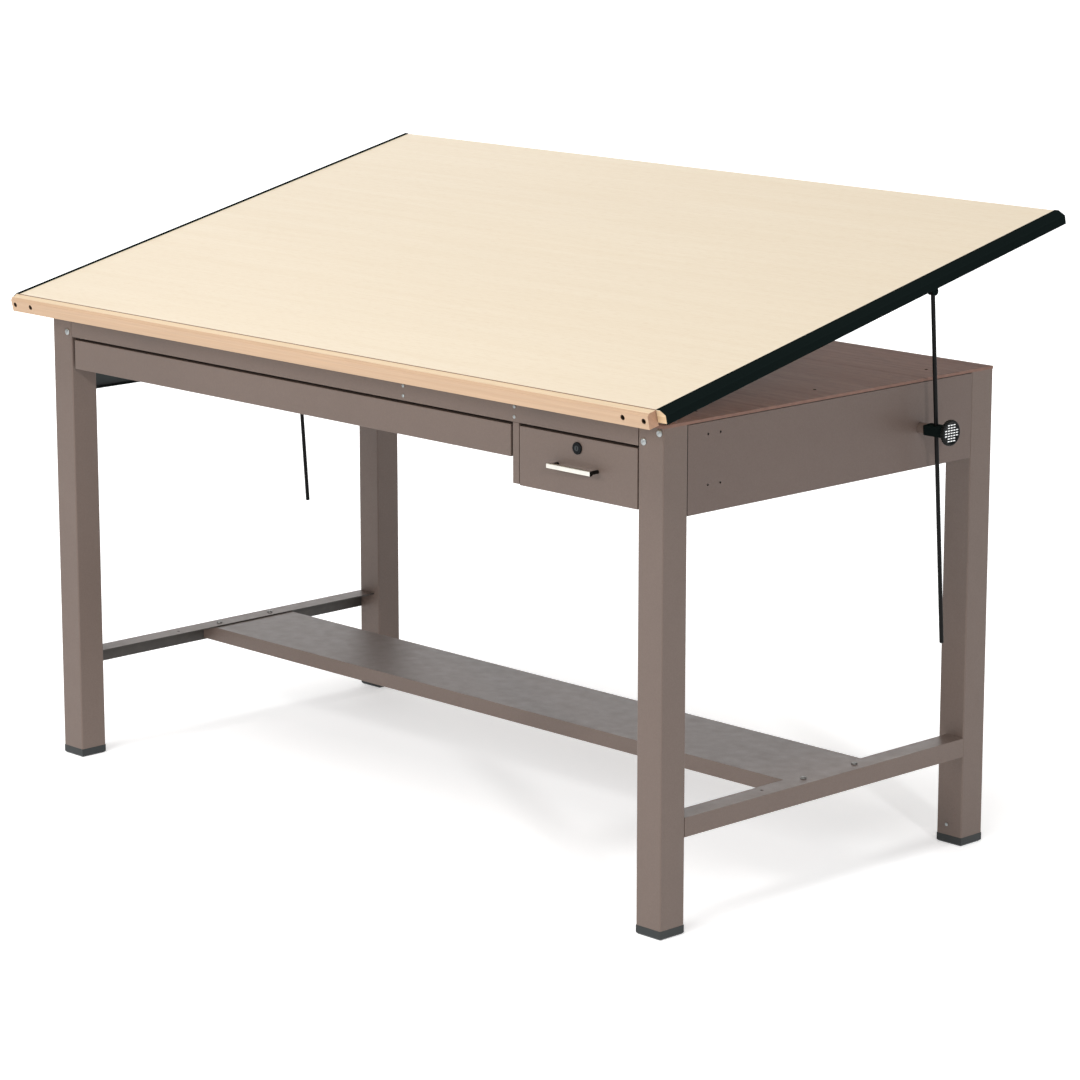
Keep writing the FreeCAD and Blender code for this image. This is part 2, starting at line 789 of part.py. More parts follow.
# The cleats' sloped shoulder: its upper line falls by `slope` per mm outwards of `shoulder_x`.
shoulder_x = board_half - d.cleat_flange + d.cleat_flat
shoulder_top = board_top + d.cleat_sheet
slope = d.cleat_drop / (board_half - shoulder_x)
slope_sheet = d.cleat_sheet * math.hypot(1, slope)
RELIEF_GAP = 0.15
RELIEF_OUT = 1.0


def shoulder_line(x, depth):
    """Height of the line that lies a depth under the top of the sloped shoulder."""
    return shoulder_top - depth - slope * (x - shoulder_x)


def shoulder_relief(side, sign):
    """Wedge that bevels the board's end under the cleat's shoulder."""
    depth = slope_sheet + RELIEF_GAP
    high = board_top + RELIEF_OUT
    inner_x = shoulder_x - (high - shoulder_top + depth) / slope
    outer_x = board_half + RELIEF_OUT
    points = [(inner_x, high), (outer_x, high), (outer_x, shoulder_line(outer_x, depth))]
    outline = [(sign * x, z) for x, z in points]
    start = d.board_front - RELIEF_OUT
    return bar_along_y(f"relief_{side}", outline, f"dims.board_depth + {2 * RELIEF_OUT}", start)


core_width = "dims.board_width - 2 * dims.cleat_web"
core_start = -board_half + d.cleat_web
core_thick = "dims.board_thick - dims.laminate_thick"
core = block((core_width, "dims.board_depth", core_thick), (core_start, d.board_front, d.board_underside))
laminate = block(
    (core_width, "dims.board_depth", "dims.laminate_thick"),
    (core_start, d.board_front, board_top - d.laminate_thick),
)
reliefs = [shoulder_relief(side, sign) for side, sign in SIDES]
tilted("board_core", cut(core, *reliefs))
tilted("board_laminate", cut(laminate, *reliefs))

strip_half = board_half - d.cleat_flange
strip_front = d.board_front - d.strip_depth
strip_bar = block(
    ("dims.board_width - 2 * dims.cleat_flange", "dims.strip_depth", "dims.strip_height"),
    (-strip_half, strip_front, board_top - d.strip_height),
)


def front_top_edge(edge):
    middle = edge.CenterOfMass
    return along(edge, X_AXIS) and middle.y < strip_front + TINY and middle.z > board_top - TINY


STRIP_SINK = 9.0
STRIP_SINK_RADIUS = "5.0"
STRIP_HOLE = "2.3"
STRIP_SCREW_INSETS = (11.0, 61.0)
bevelled_strip = dress("Chamfer", strip_bar, d.strip_bevel, front_top_edge)
strip_screw_spots = [sign * (strip_half - inset) for sign in (-1, 1) for inset in STRIP_SCREW_INSETS]
strip_screw_height = board_top - d.strip_height / 2
drill_starts = [(x, strip_front - DRILL_START, strip_screw_height) for x in strip_screw_spots]
sinks = [
    drum(STRIP_SINK_RADIUS, f"{STRIP_SINK + DRILL_START}", start, Y_AXIS) for start in drill_starts
]
drillings = [drum(STRIP_HOLE, DEEP_DRILL, start, Y_AXIS) for start in drill_starts]
tilted("front_strip", cut(bevelled_strip, *sinks, *drillings))

strip_shank = d.strip_depth - STRIP_SINK - d.free_gap
strip_screw = screw_master("strip_screw", 3.9, 2.4, 2.2, strip_shank, 1.0)
strip_screw_places = [
    facing(x, strip_front + STRIP_SINK, strip_screw_height, (0, -1, 0), 15 + x / 9)
    for x in strip_screw_spots
]
strip_screws = fastener_group("strip_screws", strip_screw, strip_screw_places)
strip_screws.Placement = board_tilt


def end_cleat(side, sign):
    """Black moulding over the board's end: flat and sloped shoulder above, web, return below."""
    inner_x = board_half - d.cleat_flange
    web_x = board_half - d.cleat_web
    return_x = board_half - d.cleat_return
    corner_x = shoulder_x - (slope_sheet - d.cleat_sheet) / slope
    points = [
        (inner_x, board_top),
        (inner_x, shoulder_top),
        (shoulder_x, shoulder_top),
        (board_half, shoulder_line(board_half, 0)),
        (board_half, cleat_underside),
        (return_x, cleat_underside),
        (return_x, d.board_underside),
        (web_x, d.board_underside),
        (web_x, shoulder_line(web_x, slope_sheet)),
        (corner_x, board_top),
    ]
    outline = [(sign * x, z) for x, z in points]
    body = bar_along_y(f"cleat_{side}", outline, "dims.board_depth", d.board_front)
    return tilted(f"end_cleat_{side}", body)


for side, sign in SIDES:
    end_cleat(side, sign)

buffer_height = d.board_underside - base_top_height - d.free_gap
buffer_low = d.board_underside - buffer_height
buffers = [
    drum(
        "dims.buffer_radius",
        f"{buffer_height}",
        (sign * d.buffer_spread, d.buffer_back, buffer_low),
        Z_AXIS,
    )
    for side, sign in SIDES
]
buffer_group = doc.addObject("Part::Compound", "buffers")
buffer_group.Links = buffers
tilted("rest_buffers", buffer_group)


# ---------------------------------------------------------------- board hinges

MIDDLE_KNUCKLE = 30.0
KNUCKLE_GAP = 0.5
LEAF_LENGTH = 66.0
WEB_HALF = 3.0
PIN_PROUD = 1.0
PRESS_GAP = 0.02


def knuckle(x, length, bore):
    """Hinge barrel and the hole for its pin."""
    start = (x, d.hinge_back, d.hinge_height)
    barrel = drum("dims.knuckle_radius", f"{length}", start, X_AXIS)
    hole_start = (x - DRILL_START, d.hinge_back, d.hinge_height)
    hole = drum(bore, f"{length + 2 * DRILL_START}", hole_start, X_AXIS)
    return barrel, hole


def hinge(side, centre):
    """Butt hinge: a leaf on the base top, a leaf under the board."""
    left = centre - d.hinge_width / 2
    leaf = ("dims.hinge_width", f"{LEAF_LENGTH}", "dims.hinge_leaf")
    leaf_y = d.hinge_back - WEB_HALF
    outer_length = (d.hinge_width - MIDDLE_KNUCKLE) / 2 - KNUCKLE_GAP
    base_parts = [block(leaf, (left, leaf_y, base_top_height))]
    base_holes = []
    web_low = base_top_height + d.hinge_leaf
    web_rise = f"{d.hinge_height - web_low}"
    for x in (left, left + d.hinge_width - outer_length):
        barrel, hole = knuckle(x, outer_length, f"dims.hinge_pin_radius + {PRESS_GAP}")
        web = block((f"{outer_length}", f"{2 * WEB_HALF}", web_rise), (x, leaf_y, web_low))
        base_parts += [barrel, web]
        base_holes.append(hole)
    keep(f"hinge_base_{side}", cut(fuse(*base_parts), *base_holes))

    middle_x = centre - MIDDLE_KNUCKLE / 2
    plate_z = d.board_underside - d.hinge_leaf
    plate = block(leaf, (left, leaf_y, plate_z))
    barrel, hole = knuckle(middle_x, MIDDLE_KNUCKLE, "dims.hinge_pin_radius + dims.running_gap")
    web_rise = f"{plate_z - d.hinge_height}"
    web = block((f"{MIDDLE_KNUCKLE}", f"{2 * WEB_HALF}", web_rise), (middle_x, leaf_y, d.hinge_height))
    tilted(f"hinge_board_{side}", cut(fuse(plate, barrel, web), hole))


hinge_centres = {side: sign * d.hinge_spread for side, sign in SIDES}
for side, centre in hinge_centres.items():
    hinge(side, centre)

pins = [
    drum(
        "dims.hinge_pin_radius",
        f"dims.hinge_width + {2 * PIN_PROUD}",
        (centre - d.hinge_width / 2 - PIN_PROUD, d.hinge_back, d.hinge_height),
        X_AXIS,
    )
    for centre in hinge_centres.values()
]
pin_group = doc.addObject("Part::Compound", "pins")
pin_group.Links = pins
keep("hinge_pins", pin_group)


# ---------------------------------------------------------------- rods and clamps

rod_pin_level = V(0, d.rod_pin_back, d.rod_pin_height)
rod_pin_now = board_tilt.multVec(rod_pin_level)
clamp_centre = V(0, d.clamp_back, d.clamp_height)
reach = clamp_centre - rod_pin_now
rod_lean = math.degrees(math.atan2(reach.y, -reach.z))
SIDE_GAP = 0.4
EAR_GAP = d.rod_radius + SIDE_GAP
EAR_THICK = 3.0
PLATE_BORDER = 2.0
BRACKET_LENGTH = 36.0
ROD_PIN_PROUD = 1.5
TIP_CHAMFER = 1.0
EYE_DRILL_IN = 20.0


def rod_bracket(side, sign):
    """Two ears under the board that hold the rod's pin."""
    base_half = EAR_GAP + EAR_THICK + PLATE_BORDER
    plate_z = d.board_underside - d.hinge_leaf
    centre_x = sign * d.rod_side
    plate = block(
        (f"{2 * base_half}", f"{BRACKET_LENGTH}", "dims.hinge_leaf"),
        (centre_x - base_half, d.rod_pin_back - BRACKET_LENGTH / 2, plate_z),
    )
    parts = [plate]
    for ear_x in (centre_x - EAR_GAP - EAR_THICK, centre_x + EAR_GAP):
        centre = (ear_x, d.rod_pin_back, d.rod_pin_height)
        parts.append(drum("dims.eye_radius", f"{EAR_THICK}", centre, X_AXIS))
        web = (f"{EAR_THICK}", "2 * dims.eye_radius", f"{plate_z - d.rod_pin_height}")
        parts.append(block(web, (ear_x, d.rod_pin_back - d.eye_radius, d.rod_pin_height)))
    start = (centre_x - EYE_DRILL_IN, d.rod_pin_back, d.rod_pin_height)
    hole = drum(f"dims.rod_pin_radius + {PRESS_GAP}", f"{2 * EYE_DRILL_IN}", start, X_AXIS)
    return tilted(f"rod_bracket_{side}", cut(fuse(*parts), hole))


def support_rod(side, sign):
    """Round rod with an eye at its top, hanging from the pin through the clamp."""
    centre_x = sign * d.rod_side
    shaft = drum("dims.rod_radius", "dims.rod_length", (centre_x, 0, 0), (0, 0, -1))
    eye = drum("dims.eye_radius", "2 * dims.rod_radius", (centre_x - d.rod_radius, 0, 0), X_AXIS)
    hole_start = (centre_x - EYE_DRILL_IN, 0, 0)
    hole = drum("dims.rod_pin_radius + dims.running_gap", f"{2 * EYE_DRILL_IN}", hole_start, X_AXIS)

    def at_tip(edge):
        return edge.CenterOfMass.z < -d.rod_length + TINY

    soft_shaft = dress("Chamfer", shaft, TIP_CHAMFER, at_tip)
    rod = cut(fuse(soft_shaft, eye), hole)
    doc.recompute()
    rod.Placement = at(0, rod_pin_now.y, rod_pin_now.z, X_AXIS, rod_lean)
    return keep(f"support_rod_{side}", rod)


rod_pins = []
for side, sign in SIDES:
    rod_bracket(side, sign)
    support_rod(side, sign)
    pin_half = EAR_GAP + EAR_THICK + ROD_PIN_PROUD
    pin_start = (sign * d.rod_side - pin_half, d.rod_pin_back, d.rod_pin_height)
    rod_pins.append(drum("dims.rod_pin_radius", f"{2 * pin_half}", pin_start, X_AXIS))
rod_pin_group = doc.addObject("Part::Compound", "rod_pin_pair")
rod_pin_group.Links = rod_pins
tilted("rod_pins", rod_pin_group)

BUSH_FACE = half_width + 16.6
NUT_GAP = 0.3
NUT_THICK = 8.0
NUT_FLATS = 19.0
STUD_PROUD = 4.0
STUD_ROOT = 1.0
STUD_END = half_width - d.plate - NUT_GAP - NUT_THICK - STUD_PROUD
SPIGOT_GAP = 0.05
BLOCK_ROUND = 2.5
SLOT_FRONT = 8.8
SLOT_REAR = 6.4
SLOT_HALF = d.rod_radius + SIDE_GAP
CUT_HALF = 30.0


def clamp_bush(side, sign):
    """Collar on the side panel that the clamp's stud turns in."""
    start = (sign * half_width, d.clamp_back, d.clamp_height)
    collar = drum("dims.bush_radius", f"{BUSH_FACE - half_width}", start, (sign, 0, 0))
    inner = (sign * (half_width - d.plate), d.clamp_back, d.clamp_height)
    spigot_radius = f"dims.bush_radius - dims.bush_step - {SPIGOT_GAP}"
    spigot = drum(spigot_radius, f"dims.plate + {DRILL_START}", inner, (sign, 0, 0))
    hole_start = (sign * (half_width - CUT_HALF), d.clamp_back, d.clamp_height)
    bore = drum("dims.stud_radius + dims.running_gap", DEEP_DRILL, hole_start, (sign, 0, 0))
    return keep(f"clamp_bush_{side}", cut(fuse(collar, spigot), bore))


def clamp_block(side, sign):
    """Block with a slot for the rod, a stud into the panel and a bore for the knob's screw."""
    half_y = d.block_width / 2
    half_z = d.block_height / 2
    size = ("dims.block_length", "dims.block_width", "dims.block_height")
    body = side_block(sign, size, d.block_inner, -half_y, -half_z)
    rounded = dress("Fillet", body, BLOCK_ROUND, lambda edge: along(edge, X_AXIS))
    stud_length = d.block_inner - STUD_END + STUD_ROOT
    stud = drum("dims.stud_radius", f"{stud_length}", (sign * STUD_END, 0, 0), (sign, 0, 0))
    slot = block(
        (f"{2 * SLOT_HALF}", f"{SLOT_FRONT + SLOT_REAR}", f"{2 * CUT_HALF}"),
        (sign * d.rod_side - SLOT_HALF, -SLOT_FRONT, -CUT_HALF),
    )
    hole_start = (sign * d.rod_side, 0, 0)
    bore = drum("dims.knob_screw_radius + dims.running_gap", DEEP_DRILL, hole_start, (sign, 0, 0))
    item = cut(fuse(rounded, stud), slot, bore)
    doc.recompute()
    item.Placement = at(0, d.clamp_back, d.clamp_height, X_AXIS, rod_lean)
    return keep(f"clamp_block_{side}", item)


def hexagon(body, across_flats):
    sketch = new_sketch(body, "YZ_Plane")
    radius = across_flats / math.sqrt(3)
    angles = [math.radians(60 * step) for step in range(6)]
    closed_outline(sketch, [(radius * math.cos(a), radius * math.sin(a)) for a in angles])
    return sketch


def clamp_nut(side, sign):
    """Hexagon nut that holds the stud, inside the side panel."""
    body = doc.addObject("PartDesign::Body", "nut_body")
    pad = body.newObject("PartDesign::Pad", "nut_pad")
    pad.Profile = hexagon(body, NUT_FLATS)
    pad.Length = NUT_THICK
    doc.recompute()
    low_x = half_width - d.plate - NUT_GAP - NUT_THICK
    start_x = low_x if sign > 0 else -low_x - NUT_THICK
    body.Placement = at(start_x, 0, 0)
    hole = drum(f"dims.stud_radius + {TINY}", DEEP_DRILL, (start_x - CUT_HALF, 0, 0), X_AXIS)
    item = cut(body, hole)
    doc.recompute()
    item.Placement = at(0, d.clamp_back, d.clamp_height, X_AXIS, rod_lean)
    return keep(f"clamp_nut_{side}", item)


KNOB_START = d.block_inner + d.block_length + d.joint_gap
SCALLOPS = 30
SCALLOP_RADIUS = 1.6
SCALLOP_OUT = 0.7
SCREW_SEAT = 1.0
TIP_GAP = 0.35


def knob(side, sign):
    """Hand knob: hub, dished rim with a fluted edge, and a blind bore for its screw."""
    outer = d.knob_hub + d.knob_rim
    outline = [
        (0, 0),
        (d.knob_hub_radius, 0),
        (d.knob_hub_radius, d.knob_hub * 0.6),
        (d.knob_radius - 2.5, d.knob_hub),
        (d.knob_radius, d.knob_hub + 1.8),
        (d.knob_radius, outer - 1.8),
        (d.knob_radius - 2.0, outer),
        (d.knob_radius - 4.0, outer),
        (d.knob_radius - 5.0, outer - 1.4),
        (0, outer - 0.6),
    ]
    body = turned_body("knob_body", outline)
    flutes = []
    for step in range(SCALLOPS):
        angle = 2 * math.pi * step / SCALLOPS
        x = (d.knob_radius + SCALLOP_OUT) * math.cos(angle)
        y = (d.knob_radius + SCALLOP_OUT) * math.sin(angle)
        flutes.append(drum(f"{SCALLOP_RADIUS}", f"{outer}", (x, y, TINY), Z_AXIS))
    bore_length = f"{d.knob_hub + SCREW_SEAT + DRILL_START}"
    bore = drum(f"dims.knob_screw_radius + {TINY}", bore_length, (0, 0, -DRILL_START), Z_AXIS)
    item = cut(body, bore, *flutes)
    doc.recompute()
    turn = FreeCAD.Rotation(Z_AXIS, V(sign, 0, 0))
    item.Placement = FreeCAD.Placement(V(sign * KNOB_START, d.clamp_back, d.clamp_height), turn)
    return keep(f"knob_{side}", item)


def knob_screw(side, sign):
    """Screw of the knob, whose tip presses on the rod."""
    tip_x = d.rod_side + d.rod_radius + TIP_GAP
    length = KNOB_START + d.knob_hub + SCREW_SEAT - d.joint_gap / 5 - tip_x
    item = drum(
        "dims.knob_screw_radius", f"{length}", (sign * tip_x, d.clamp_back, d.clamp_height), (sign, 0, 0)
    )
    return keep(f"knob_screw_{side}", item)


for side, sign in SIDES:
    clamp_bush(side, sign)
    clamp_block(side, sign)
    clamp_nut(side, sign)
    knob(side, sign)
    knob_screw(side, sign)


# ---------------------------------------------------------------- origin, checks and export

doc.recompute()
low_y = min(item.Shape.BoundBox.YMin for item in nodes.values())
high_y = max(item.Shape.BoundBox.YMax for item in nodes.values())
middle_y = (low_y + high_y) / 2
to_middle = at(0, -middle_y, 0)
for item in nodes.values():
    item.Placement = to_middle.multiply(item.Placement)
doc.recompute()

for item in doc.Objects:
    for bad_state in ("Invalid", "Error"):
        if bad_state in item.State:
            raise RuntimeError(f"{item.Label} is {bad_state}")
for label, item in nodes.items():
    if item.Shape.isNull() or not item.Shape.isValid():
        raise RuntimeError(f"{label} has no valid shape")

os.makedirs("parts", exist_ok=True)
for label, item in nodes.items():
    item.Shape.exportStep(f"parts/{label}.step")
print(f"{len(nodes)} sub-parts, {sum(len(i.Shape.Solids) for i in nodes.values())} solids")
print(f"middle of the table is {middle_y:.3f} mm behind the leg fronts")
print(f"rod leans {rod_lean:.4f} degrees")
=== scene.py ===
"""Looks of a four-post drafting table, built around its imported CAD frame. Metres, +Z up.

The CAD nodes keep their shapes and get materials and softened edges. Pieces that need more
than that, such as the knobs, are made here and stand for their CAD nodes.
"""

import json
import math

import bmesh
import bpy
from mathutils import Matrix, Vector


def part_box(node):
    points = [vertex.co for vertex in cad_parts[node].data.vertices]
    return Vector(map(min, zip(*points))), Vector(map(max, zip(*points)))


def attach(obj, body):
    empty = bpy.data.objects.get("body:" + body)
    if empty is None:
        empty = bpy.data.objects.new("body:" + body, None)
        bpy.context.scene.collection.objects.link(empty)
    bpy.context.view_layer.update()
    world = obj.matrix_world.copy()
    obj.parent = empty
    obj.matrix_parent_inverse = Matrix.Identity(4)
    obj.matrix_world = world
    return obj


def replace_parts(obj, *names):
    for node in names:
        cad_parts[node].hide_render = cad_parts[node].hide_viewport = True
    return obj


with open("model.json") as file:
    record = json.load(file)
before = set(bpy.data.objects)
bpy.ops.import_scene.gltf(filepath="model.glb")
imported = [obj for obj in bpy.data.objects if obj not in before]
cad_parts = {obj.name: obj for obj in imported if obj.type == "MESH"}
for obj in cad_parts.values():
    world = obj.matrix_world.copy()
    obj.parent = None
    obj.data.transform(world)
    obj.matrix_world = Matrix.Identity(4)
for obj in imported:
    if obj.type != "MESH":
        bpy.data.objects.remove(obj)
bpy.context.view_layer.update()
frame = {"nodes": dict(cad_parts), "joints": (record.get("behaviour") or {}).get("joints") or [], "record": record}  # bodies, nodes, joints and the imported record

nodes = frame["nodes"]
joints = {joint["name"]: joint for joint in frame["joints"]}
MM = 0.001

SIDES = (("left", -1), ("right", 1))
TILT = math.radians(-joints["board_tilt"]["range_deg"][0])


# ---------------------------------------------------------------- node graphs


# Where nearly all of a noise lies
NOISE_MIDDLE = (0.3, 0.7)


class Graph:
    """The node tree of one material, with short calls for the nodes used here."""

    def __init__(self, name, **shader_values):
        self.material = bpy.data.materials.new(name)
        self.material.use_nodes = True
        self.tree = self.material.node_tree
        self.tree.nodes.clear()
        self.shader = self.tree.nodes.new("ShaderNodeBsdfPrincipled")
        output = self.tree.nodes.new("ShaderNodeOutputMaterial")
        self.tree.links.new(self.shader.outputs["BSDF"], output.inputs["Surface"])
        for socket, value in shader_values.items():
            self.shader.inputs[socket.replace("_", " ")].default_value = value

    def feed(self, target, value):
        """Links a socket to an input, or sets the input to a plain value or an (r, g, b) colour."""
        if isinstance(value, bpy.types.NodeSocket):
            self.tree.links.new(value, target)
        elif target.type == "RGBA":
            target.default_value = (*value, 1.0)
        else:
            target.default_value = value

    def node(self, kind, inputs, **settings):
        made = self.tree.nodes.new(kind)
        for name, value in settings.items():
            setattr(made, name, value)
        for key, value in inputs.items():
            self.feed(made.inputs[key], value)
        return made

    def place(self, stretch=(1, 1, 1), turn=(0, 0, 0), shift=(0, 0, 0)):
        """The surface point in the row frame at rest, stretched along the axes."""
        point = self.node("ShaderNodeTexCoord", {}).outputs["Object"]
        turned = self.node("ShaderNodeMapping", {"Vector": point, "Rotation": turn, "Location": shift})
        scaled = self.node("ShaderNodeMapping", {"Vector": turned.outputs["Vector"], "Scale": stretch})
        return scaled.outputs["Vector"]

    def noise(self, where, scale, detail=2.0, roughness=0.5, distortion=0.0):
        inputs = {
            "Vector": where,
            "Scale": scale,
            "Detail": detail,
            "Roughness": roughness,
            "Distortion": distortion,
        }
        return self.node("ShaderNodeTexNoise", inputs).outputs["Fac"]

    def cells(self, where, scale):
        return self.node("ShaderNodeTexVoronoi", {"Vector": where, "Scale": scale})

    def span(self, value, low, high, to_low=0.0, to_high=1.0):
        """Maps the range low to high onto the range to_low to to_high, clamped."""
        inputs = {"Value": value, "From Min": low, "From Max": high, "To Min": to_low, "To Max": to_high}
        return self.node("ShaderNodeMapRange", inputs).outputs["Result"]

    def spread(self, noise, to_low=0.0, to_high=1.0):
        """Maps the middle of a noise onto a range."""
        return self.span(noise, *NOISE_MIDDLE, to_low, to_high)

    def combine(self, operation, first, second):
        return self.node("ShaderNodeMath", {0: first, 1: second}, operation=operation).outputs["Value"]

    def sum(self, first, second, share=None):
        """Adds two values, the second of them scaled by its share if one is given."""
        if share is not None:
            second = self.combine("MULTIPLY", second, share)
        return self.combine("ADD", first, second)

    def mix(self, factor, first, second, blend="MIX"):
        """Mixes two colours, given as sockets or (r, g, b)."""
        made = self.tree.nodes.new("ShaderNodeMix")
        made.data_type = "RGBA"
        made.blend_type = blend
        sockets = {socket.identifier: socket for socket in made.inputs}
        self.feed(sockets["Factor_Float"], factor)
        self.feed(sockets["A_Color"], first)
        self.feed(sockets["B_Color"], second)
        return next(socket for socket in made.outputs if socket.identifier == "Result_Color")

    def multiply(self, first, second):
        return self.mix(1.0, first, second, "MULTIPLY")

    def vary(self, noise, colour, darkest, palest):
        """Two shades of a colour, mixed along a noise."""
        return self.mix(self.spread(noise), shade(colour, darkest), shade(colour, palest))

    def bump(self, height, distance, strength):
        inputs = {"Height": height, "Distance": distance, "Strength": strength}
        return self.node("ShaderNodeBump", inputs).outputs["Normal"]

    def edge_mask(self, radius, gain):
        """1 on a convex or concave edge, 0 a radius away from it."""
        soft = self.node("ShaderNodeBevel", {"Radius": radius}, samples=4).outputs["Normal"]
        true = self.node("ShaderNodeNewGeometry", {}).outputs["Normal"]
        agreement = self.node("ShaderNodeVectorMath", {0: soft, 1: true}, operation="DOT_PRODUCT")
        return self.span(agreement.outputs["Value"], 1.0, 1.0 - gain)

    def shelter(self, distance):
        """How enclosed the surface is within a distance: 0 in the open, 1 down a hole."""
        open_sky = self.node("ShaderNodeAmbientOcclusion", {"Distance": distance}, samples=8)
        return self.span(open_sky.outputs["AO"], 0.70, 0.35)

    def axis(self, name):
        """One coordinate of the surface point in the row frame at rest."""
        point = self.node("ShaderNodeTexCoord", {}).outputs["Object"]
        return self.node("ShaderNodeSeparateXYZ", {0: point}).outputs[name]

    def facing(self, name):
        """How far the surface faces along an axis, either way: 0 to 1."""
        normal = self.node("ShaderNodeNewGeometry", {}).outputs["True Normal"]
        along = self.node("ShaderNodeSeparateXYZ", {0: normal}).outputs[name]
        return self.absolute(along)

    def absolute(self, value):
        return self.node("ShaderNodeMath", {0: value}, operation="ABSOLUTE").outputs["Value"]

    def finish(self, colour=None, roughness=None, normal=None):
        for name, value in (("Base Color", colour), ("Roughness", roughness), ("Normal", normal)):
            if value is not None:
                self.feed(self.shader.inputs[name], value)
        return self.material


def shade(colour, factor):
    return tuple(channel * factor for channel in colour)


def grey(level):
    return (level, level, level)


# ---------------------------------------------------------------- materials


PEEL_DEPTH = 0.12 * MM
PEEL_STRENGTH = 0.35
INSIDE_BLEND = 0.1 * MM
# How far a face has to point along an axis to count as a wall, blending over the range
WALL = (0.6, 0.8)


def enamel(name, colour, roughness, speckle=0.06, wear=0.12, shine=0.32, inside=None, walls=False):
    """Baked enamel on sheet steel: orange peel, a fine speckle and thinner paint on the edges.

    inside, if given, is a half width and a colour: faces nearer the middle plane than the half
    width are painted that dark colour, a painted shade inside the frame. With walls, only those
    that face along X have it.
    """
    g = Graph(name, Specular_IOR_Level=shine)
    where = g.place()
    drift = g.noise(where, 2.3, detail=3.0)
    blotch = g.noise(where, 38.0, detail=3.0)
    peel = g.noise(where, 260.0)
    mottle = g.noise(where, 310.0)
    fine = g.noise(where, 900.0, detail=1.0)
    clouds = g.mix(g.span(mottle, 0.32, 0.68), grey(0.965), grey(1.035))
    grain = g.vary(fine, grey(1.0), 1.0 - speckle, 1.0 + speckle)
    painted = g.multiply(g.multiply(g.vary(drift, colour, 0.965, 1.035), clouds), grain)
    worn = g.mix(g.edge_mask(1.6 * MM, 0.25), painted, shade(colour, 1.0 + wear))
    if inside:
        half_width, inner_shade_colour = inside
        # Painted shade: faces within the half width take the dark colour, for the shade inside the
        # frame.
        deep = g.span(g.absolute(g.axis("X")), half_width - INSIDE_BLEND, half_width, 1.0, 0.0)
        if walls:
            deep = g.combine("MULTIPLY", deep, g.span(g.facing("X"), *WALL))
        worn = g.mix(deep, worn, g.vary(blotch, inner_shade_colour, 0.85, 1.15))
    gloss = g.span(blotch, 0.25, 0.75, roughness - 0.04, roughness + 0.05)
    return g.finish(worn, gloss, g.bump(g.sum(peel, fine, 0.35), PEEL_DEPTH, PEEL_STRENGTH))


# Distance from the middle of a dash to its rim, and how far an upright edge may point along Z
PORE = (0.13, 0.03)
UPRIGHT = (0.75, 0.55)


def wood_pattern_laminate(
    name, pale, deep, turn, streak=0.25, dash=0.5, roughness=0.36, shine=0.45, edge=None
):
    """Printed wood-pattern laminate, its grain along X. edge is the colour of its upright edges."""
    g = Graph(name, Specular_IOR_Level=shine)
    broad = g.noise(g.place((0.35, 3.0, 3.0), turn), 1.0, detail=3.0, distortion=0.6)
    streaks = g.noise(g.place((0.9, 30.0, 30.0), turn), 1.6, detail=5.0, roughness=0.62, distortion=0.4)
    short = g.noise(g.place((42.0, 330.0, 330.0), turn), 1.0, roughness=0.6)
    fibres = g.noise(g.place((14.0, 1100.0, 1100.0), turn), 1.0)
    flecks = g.cells(g.place((46.0, 560.0, 560.0), turn), 1.0).outputs["Distance"]
    base = g.mix(g.combine("MULTIPLY", g.span(streaks, 0.34, 0.68), streak), pale, deep)
    toned = g.multiply(base, g.mix(g.span(broad, 0.3, 0.72), grey(1.012), (0.985, 0.982, 0.978)))
    dashed = g.mix(g.combine("MULTIPLY", g.span(short, 0.50, 0.72), dash), toned, deep)
    threads = g.mix(g.span(fibres, 0.35, 0.75), grey(1.0), (0.975, 0.965, 0.95))
    pored = g.mix(g.span(flecks, *PORE, 0.0, dash * 0.6), g.multiply(dashed, threads), shade(deep, 0.82))
    printed = g.mix(g.edge_mask(1.0 * MM, 0.3), pored, shade(deep, 0.92))
    if edge:
        upright = g.span(g.facing("Z"), *UPRIGHT)
        printed = g.mix(upright, printed, g.vary(streaks, edge, 1.12, 0.88))
    gloss = g.spread(streaks, roughness - 0.03, roughness + 0.05)
    return g.finish(printed, gloss, g.bump(g.sum(fibres, short, -0.4), 0.02 * MM, 0.3))


WOOD_ROUGHNESS = 0.5
FIBRE = 0.06
HOLE_REACH = 12.0 * MM
# How far a face has to point along an axis to count as square to it
SQUARE = (0.75, 0.9)


